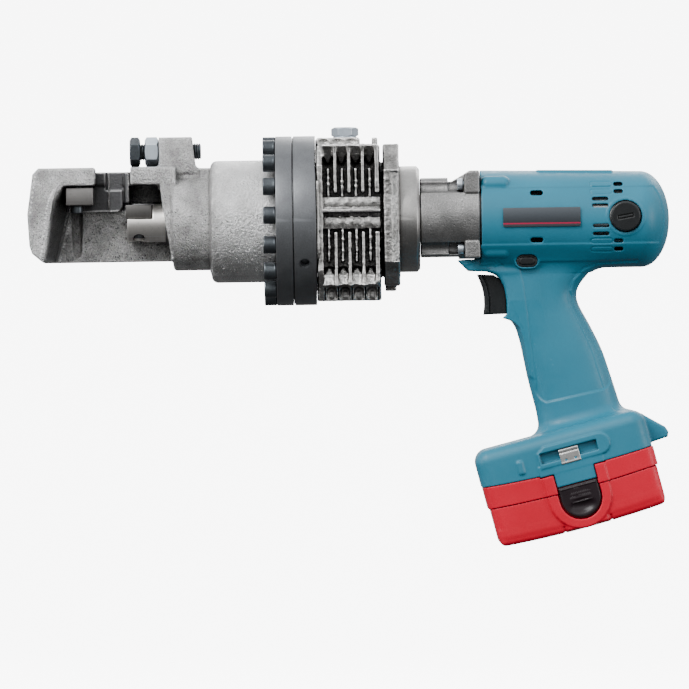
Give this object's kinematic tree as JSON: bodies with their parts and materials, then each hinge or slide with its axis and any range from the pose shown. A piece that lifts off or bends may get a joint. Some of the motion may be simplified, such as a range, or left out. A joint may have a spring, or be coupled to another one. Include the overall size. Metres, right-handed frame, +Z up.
{
  "type": "rebar cutter",
  "caption": "Cordless hydraulic rebar cutter: C-shaped cutting head, flanged cylinder, finned oil housing, motor body with pistol grip and clip-on battery.",
  "frame": {"origin": "centre of the tool's bounding box", "axes": "+X along the piston axis from the cutting head towards the motor, +Z up with the grip hanging down, so the mouth opens to -Y"},
  "size_m": [0.4492, 0.1184, 0.294],
  "materials": {
    "black_plastic": "moulded plastic, finely textured",
    "black_screw": "black oxide, satin",
    "carbon": "pressed carbon, matt",
    "cast_aluminium": "sand-cast aluminium, satin on the machined bands",
    "cast_steel": "light grey as-cast steel, grainy with small pits",
    "cell_wrap": "shrink wrap, satin",
    "copper": "soft copper, dull",
    "dark_steel": "turned and gun-metal blackened, satin",
    "grey_label": "plain grey label film, satin",
    "machined_steel": "ground steel, fine circular marks",
    "red_plastic": "moulded plastic, soft sheen",
    "seal_rubber": "black rubber, matt",
    "teal_plastic": "moulded nylon, finely textured",
    "tool_steel": "ground tool steel with bright edges",
    "zinc_steel": "bright zinc plating, slightly blue"
  },
  "bodies": {
    "tool": {"head_casting": "cast_steel", "fixed_cutter": "tool_steel", "fixed_cutter_screw": "black_screw", "rod_wiper": "seal_rubber", "return_spring": "machined_steel", "stopper_nut": "zinc_steel", "flange_ring": "dark_steel", "pump_case": "dark_steel", "flange_screws": "black_screw", "fin_housing": "cast_aluminium", "oil_plug": "zinc_steel", "oil_plug_washer": "copper", "tank_cover": "cast_aluminium", "bearing_collar": "machined_steel", "main_bearing": "machined_steel", "pump_block": "machined_steel", "pump_plunger_left": "machined_steel", "pump_plunger_right": "machined_steel", "ring_gear": "machined_steel", "gear_case": "cast_aluminium", "gear_case_screw_1": "black_screw", "gear_case_screw_2": "black_screw", "gear_case_screw_3": "black_screw", "gear_case_screw_4": "black_screw", "shaft_bearing": "machined_steel", "motor_can": "dark_steel", "motor_bearing": "machined_steel", "carbon_brush_left": "carbon", "carbon_brush_right": "carbon", "brush_cap_left": "black_plastic", "brush_cap_right": "black_plastic", "housing_left": "teal_plastic", "housing_right": "teal_plastic", "switch_body": "black_plastic", "name_plate": "grey_label", "strap_clip": "machined_steel", "terminal_block": "black_plastic"},
    "piston": {"piston": "machined_steel", "piston_seal": "seal_rubber", "moving_cutter": "tool_steel", "moving_cutter_screw": "black_screw"},
    "stopper": {"stopper_bolt": "black_screw"},
    "rotor": {"motor_rotor": "dark_steel", "sun_gear": "machined_steel", "cooling_fan": "black_plastic"},
    "carrier": {"eccentric_shaft": "machined_steel", "cam_bearing": "machined_steel"},
    "planet_1": {"planet_gear_1": "machined_steel"},
    "planet_2": {"planet_gear_2": "machined_steel"},
    "planet_3": {"planet_gear_3": "machined_steel"},
    "trigger": {"trigger": "black_plastic"},
    "lock": {"lock_button": "black_plastic"},
    "battery": {"battery_case": "red_plastic", "battery_lid": "red_plastic", "cell_pack": "cell_wrap"},
    "latch_left": {"latch_button_left": "black_plastic"},
    "latch_right": {"latch_button_right": "black_plastic"}
  },
  "joints": [
    {"name": "piston_stroke", "type": "slide", "parent": "tool", "child": "piston", "axis": [-1, 0, 0], "range_m": [0, 0.022], "stiffness_N_per_m": 3000, "springref_m": -0.02, "deforming": ["return_spring"]},
    {"name": "stopper_travel", "type": "slide", "parent": "tool", "child": "stopper", "axis": [-1, 0, 0], "range_m": [-0.002, 0.012]},
    {"name": "trigger_pull", "type": "slide", "parent": "tool", "child": "trigger", "axis": [1, 0, 0], "range_m": [0, 0.0065], "stiffness_N_per_m": 800, "springref_m": -0.002},
    {"name": "lock_push", "type": "slide", "parent": "tool", "child": "lock", "axis": [0, 1, 0], "range_m": [0, 0.0035]},
    {"name": "battery_slide", "type": "slide", "parent": "tool", "child": "battery", "axis": [0.247, 0, -0.969], "range_m": [0, 0.055]},
    {"name": "latch_left_press", "type": "slide", "parent": "battery", "child": "latch_left", "axis": [0, 1, 0], "range_m": [0, 0.0025], "stiffness_N_per_m": 1500, "springref_m": -0.002},
    {"name": "latch_right_press", "type": "slide", "parent": "battery", "child": "latch_right", "axis": [0, -1, 0], "range_m": [0, 0.0025], "stiffness_N_per_m": 1500, "springref_m": -0.002},
    {"name": "rotor_spin", "type": "hinge", "parent": "tool", "child": "rotor", "pos_m": [0.1217, 0, 0.08205], "axis": [1, 0, 0], "continuous": true},
    {"name": "carrier_spin", "type": "hinge", "parent": "tool", "child": "carrier", "pos_m": [0.0217, 0, 0.08205], "axis": [1, 0, 0], "continuous": true},
    {"name": "planet_1_spin", "type": "hinge", "parent": "carrier", "child": "planet_1", "pos_m": [0.0642, 0, 0.09405], "axis": [1, 0, 0], "continuous": true},
    {"name": "planet_2_spin", "type": "hinge", "parent": "carrier", "child": "planet_2", "pos_m": [0.0642, 0.01039, 0.07605], "axis": [1, 0, 0], "continuous": true},
    {"name": "planet_3_spin", "type": "hinge", "parent": "carrier", "child": "planet_3", "pos_m": [0.0642, -0.01039, 0.07605], "axis": [1, 0, 0], "continuous": true}
  ],
  "couplings": [
    {"joint": "carrier_spin", "follows": "rotor_spin", "ratio": 0.25},
    {"joint": "planet_1_spin", "follows": "rotor_spin", "ratio": -0.75},
    {"joint": "planet_2_spin", "follows": "rotor_spin", "ratio": -0.75},
    {"joint": "planet_3_spin", "follows": "rotor_spin", "ratio": -0.75}
  ]
}
